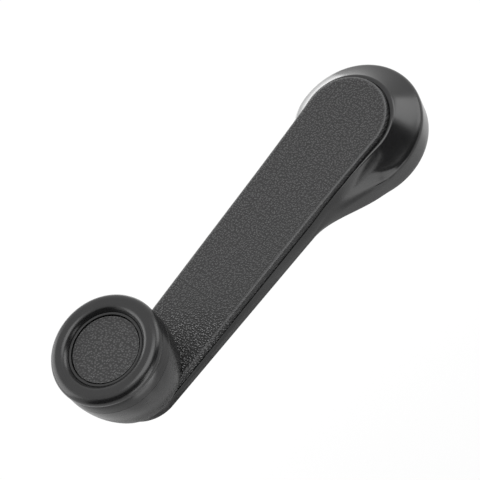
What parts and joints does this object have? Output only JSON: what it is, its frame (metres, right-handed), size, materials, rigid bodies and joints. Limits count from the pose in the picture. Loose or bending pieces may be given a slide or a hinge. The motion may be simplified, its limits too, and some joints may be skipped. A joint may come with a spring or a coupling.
{
  "type": "window winder handle",
  "caption": "Car window winder: a tapering crank with a grained trim strip, a bell-shaped splined hub and a knob that turns on a riveted spindle.",
  "frame": {"origin": "on the hub's axis, in the plane of the hub's back face", "axes": "+Z along the hub's axis away from the door, -X along the arm to the knob, Y across the arm"},
  "size_m": [0.128, 0.0392, 0.0384],
  "materials": {
    "black_plastic": "smooth moulded black plastic with a satin sheen",
    "knob_plastic": "smooth moulded black plastic with a satin sheen",
    "grained_plastic": "black plastic with a fine moulded leather grain",
    "bush_plastic": "natural off-white bearing plastic",
    "steel": "turned or pressed bare steel",
    "zinc_plated": "bright zinc plate"
  },
  "bodies": {
    "crank": {"crank_body": "black_plastic", "arm_cover": "grained_plastic", "spline_insert": "steel", "screw_washer": "zinc_plated", "screw_lock_washer": "steel", "fixing_screw": "zinc_plated", "knob_spindle": "steel", "rivet_washer": "zinc_plated", "knob_wave_washer": "steel", "spindle_head_washer": "zinc_plated"},
    "knob": {"knob_bush": "bush_plastic", "knob_body": "knob_plastic", "knob_cap": "grained_plastic"}
  },
  "joints": [
    {"name": "knob_spin", "type": "hinge", "parent": "crank", "child": "knob", "pos_m": [-0.092, 0, 0.0164], "axis": [0, 0, 1], "continuous": true}
  ]
}
